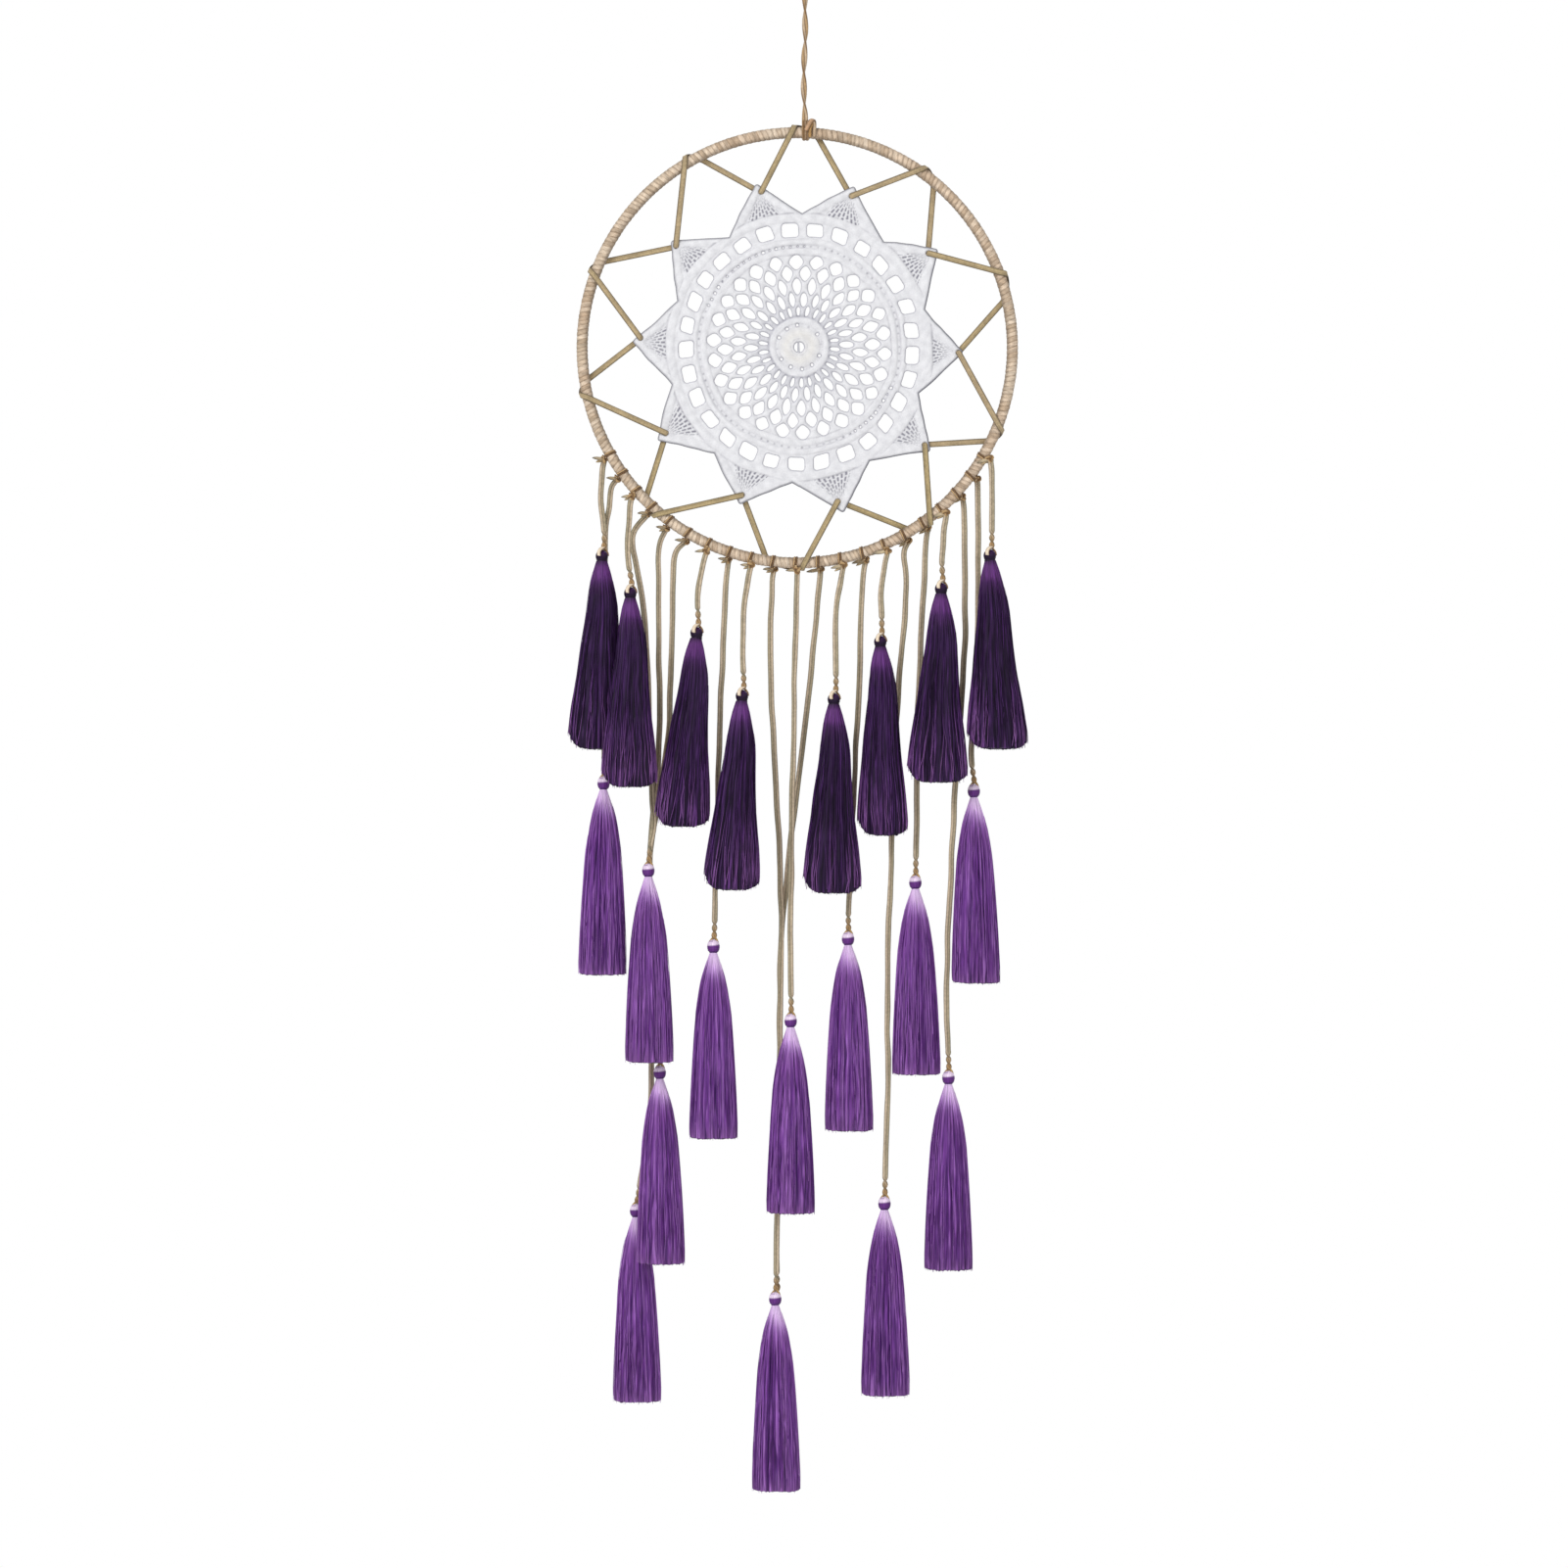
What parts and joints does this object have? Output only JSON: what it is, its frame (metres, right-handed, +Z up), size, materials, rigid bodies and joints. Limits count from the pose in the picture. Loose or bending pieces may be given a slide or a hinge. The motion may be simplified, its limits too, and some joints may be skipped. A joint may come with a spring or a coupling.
{
  "type": "dream catcher",
  "caption": "Hanging dream catcher: suede-wrapped hoop, white lace doily laced inside it, and a tiered fringe of dark and light silk tassels on suede strings.",
  "frame": {"origin": "inside top of the hanging loop, where it rests on a hook", "axes": "+Z up along the hanging cord, -Y towards the viewer (front), +X to the viewer's right"},
  "size_m": [0.2085, 0.0495, 0.6971],
  "materials": {
    "suede": "flat suede lace, brushed nap",
    "suede_knot": "suede lace pulled tight in knots and turns, darker",
    "wire": "bare steel wire, hidden by the wrap",
    "cotton_lace": "white crocheted lace with padded edges",
    "dark_silk": "glossy dark purple silk strands",
    "light_silk": "glossy violet silk strands, paler at the neck"
  },
  "bodies": {
    "hanger": {"hanging_loop": "suede", "loop_knot": "suede_knot"},
    "cord": {"hanging_cord": "suede"},
    "hoop": {"hoop_knot": "suede_knot", "hoop_ring": "wire", "hoop_wrap": "suede", "lacing_wraps": "suede_knot", "web_lacing": "suede", "doily": "cotton_lace", "string_knots": "suede_knot"},
    "drop_01": {"string_01": "suede", "tassel_01": "dark_silk"},
    "drop_02": {"string_02": "suede", "tassel_02": "dark_silk"},
    "drop_03": {"string_03": "suede", "tassel_03": "dark_silk"},
    "drop_04": {"string_04": "suede", "tassel_04": "dark_silk"},
    "drop_05": {"string_05": "suede", "tassel_05": "dark_silk"},
    "drop_06": {"string_06": "suede", "tassel_06": "dark_silk"},
    "drop_07": {"string_07": "suede", "tassel_07": "dark_silk"},
    "drop_08": {"string_08": "suede", "tassel_08": "dark_silk"},
    "drop_09": {"string_09": "suede", "tassel_09": "light_silk"},
    "drop_10": {"string_10": "suede", "tassel_10": "light_silk"},
    "drop_11": {"string_11": "suede", "tassel_11": "light_silk"},
    "drop_12": {"string_12": "suede", "tassel_12": "light_silk"},
    "drop_13": {"string_13": "suede", "tassel_13": "light_silk"},
    "drop_14": {"string_14": "suede", "tassel_14": "light_silk"},
    "drop_15": {"string_15": "suede", "tassel_15": "light_silk"},
    "drop_16": {"string_16": "suede", "tassel_16": "light_silk"},
    "drop_17": {"string_17": "suede", "tassel_17": "light_silk"},
    "drop_18": {"string_18": "suede", "tassel_18": "light_silk"},
    "drop_19": {"string_19": "suede", "tassel_19": "light_silk"},
    "drop_20": {"string_20": "suede", "tassel_20": "light_silk", "string_21": "suede"}
  },
  "joints": [
    {"name": "hoop_turn", "type": "hinge", "parent": "hanger", "child": "cord", "pos_m": [0, 0, -0.016], "axis": [0, 0, 1], "range_deg": [-180, 180]},
    {"name": "hoop_tilt", "type": "hinge", "parent": "cord", "child": "hoop", "pos_m": [0, 0, -0.075], "axis": [1, 0, 0], "range_deg": [-75, 75]},
    {"name": "swing_01", "type": "hinge", "parent": "hoop", "child": "drop_01", "pos_m": [-0.0908, 0.002, -0.2279], "axis": [0, 1, 0], "range_deg": [0, 40]},
    {"name": "swing_02", "type": "hinge", "parent": "hoop", "child": "drop_02", "pos_m": [-0.07841, -0.003, -0.24495], "axis": [1, 0, 0], "range_deg": [-60, 0]},
    {"name": "swing_03", "type": "hinge", "parent": "hoop", "child": "drop_03", "pos_m": [-0.0445, -0.003, -0.26959], "axis": [1, 0, 0], "range_deg": [-60, 0]},
    {"name": "swing_04", "type": "hinge", "parent": "hoop", "child": "drop_04", "pos_m": [-0.02446, -0.003, -0.2761], "axis": [1, 0, 0], "range_deg": [-60, 0]},
    {"name": "swing_05", "type": "hinge", "parent": "hoop", "child": "drop_05", "pos_m": [0.01746, -0.003, -0.2761], "axis": [1, 0, 0], "range_deg": [-60, 0]},
    {"name": "swing_06", "type": "hinge", "parent": "hoop", "child": "drop_06", "pos_m": [0.0375, -0.003, -0.26959], "axis": [1, 0, 0], "range_deg": [-60, 0]},
    {"name": "swing_07", "type": "hinge", "parent": "hoop", "child": "drop_07", "pos_m": [0.06395, -0.003, -0.25241], "axis": [1, 0, 0], "range_deg": [-60, 0]},
    {"name": "swing_08", "type": "hinge", "parent": "hoop", "child": "drop_08", "pos_m": [0.08379, -0.003, -0.2279], "axis": [1, 0, 0], "range_deg": [-60, 0]},
    {"name": "swing_09", "type": "hinge", "parent": "hoop", "child": "drop_09", "pos_m": [-0.08505, 0.003, -0.23675], "axis": [1, 0, 0], "range_deg": [0, 60]},
    {"name": "swing_10", "type": "hinge", "parent": "hoop", "child": "drop_10", "pos_m": [-0.07095, 0.003, -0.25241], "axis": [1, 0, 0], "range_deg": [0, 40]},
    {"name": "swing_11", "type": "hinge", "parent": "hoop", "child": "drop_11", "pos_m": [-0.03465, 0.003, -0.27337], "axis": [1, 0, 0], "range_deg": [0, 60]},
    {"name": "swing_12", "type": "hinge", "parent": "hoop", "child": "drop_12", "pos_m": [-0.0035, -0.003, -0.2783], "axis": [1, 0, 0], "range_deg": [-60, 0]},
    {"name": "swing_13", "type": "hinge", "parent": "hoop", "child": "drop_13", "pos_m": [0.02765, 0.003, -0.27337], "axis": [1, 0, 0], "range_deg": [0, 60]},
    {"name": "swing_14", "type": "hinge", "parent": "hoop", "child": "drop_14", "pos_m": [0.05575, 0.003, -0.25905], "axis": [1, 0, 0], "range_deg": [0, 60]},
    {"name": "swing_15", "type": "hinge", "parent": "hoop", "child": "drop_15", "pos_m": [0.07805, 0.003, -0.23675], "axis": [1, 0, 0], "range_deg": [0, 60]},
    {"name": "swing_16", "type": "hinge", "parent": "hoop", "child": "drop_16", "pos_m": [-0.06275, 0.003, -0.25905], "axis": [1, 0, 0], "range_deg": [0, 44.8]},
    {"name": "swing_17", "type": "hinge", "parent": "hoop", "child": "drop_17", "pos_m": [0.07141, 0.003, -0.24495], "axis": [1, 0, 0], "range_deg": [0, 60]},
    {"name": "swing_18", "type": "hinge", "parent": "hoop", "child": "drop_18", "pos_m": [-0.0539, 0.003, -0.2648], "axis": [1, 0, 0], "range_deg": [0, 50]},
    {"name": "swing_19", "type": "hinge", "parent": "hoop", "child": "drop_19", "pos_m": [0.0469, 0.003, -0.2648], "axis": [1, 0, 0], "range_deg": [0, 60]},
    {"name": "swing_20", "type": "hinge", "parent": "hoop", "child": "drop_20", "pos_m": [-0.01404, 0.003, -0.27775], "axis": [1, 0, 0], "range_deg": [0, 60]}
  ],
  "couplings": [
    {"joint": "swing_16", "follows": "swing_10", "ratio": 1.12},
    {"joint": "swing_18", "follows": "swing_10", "ratio": 1.25}
  ]
}
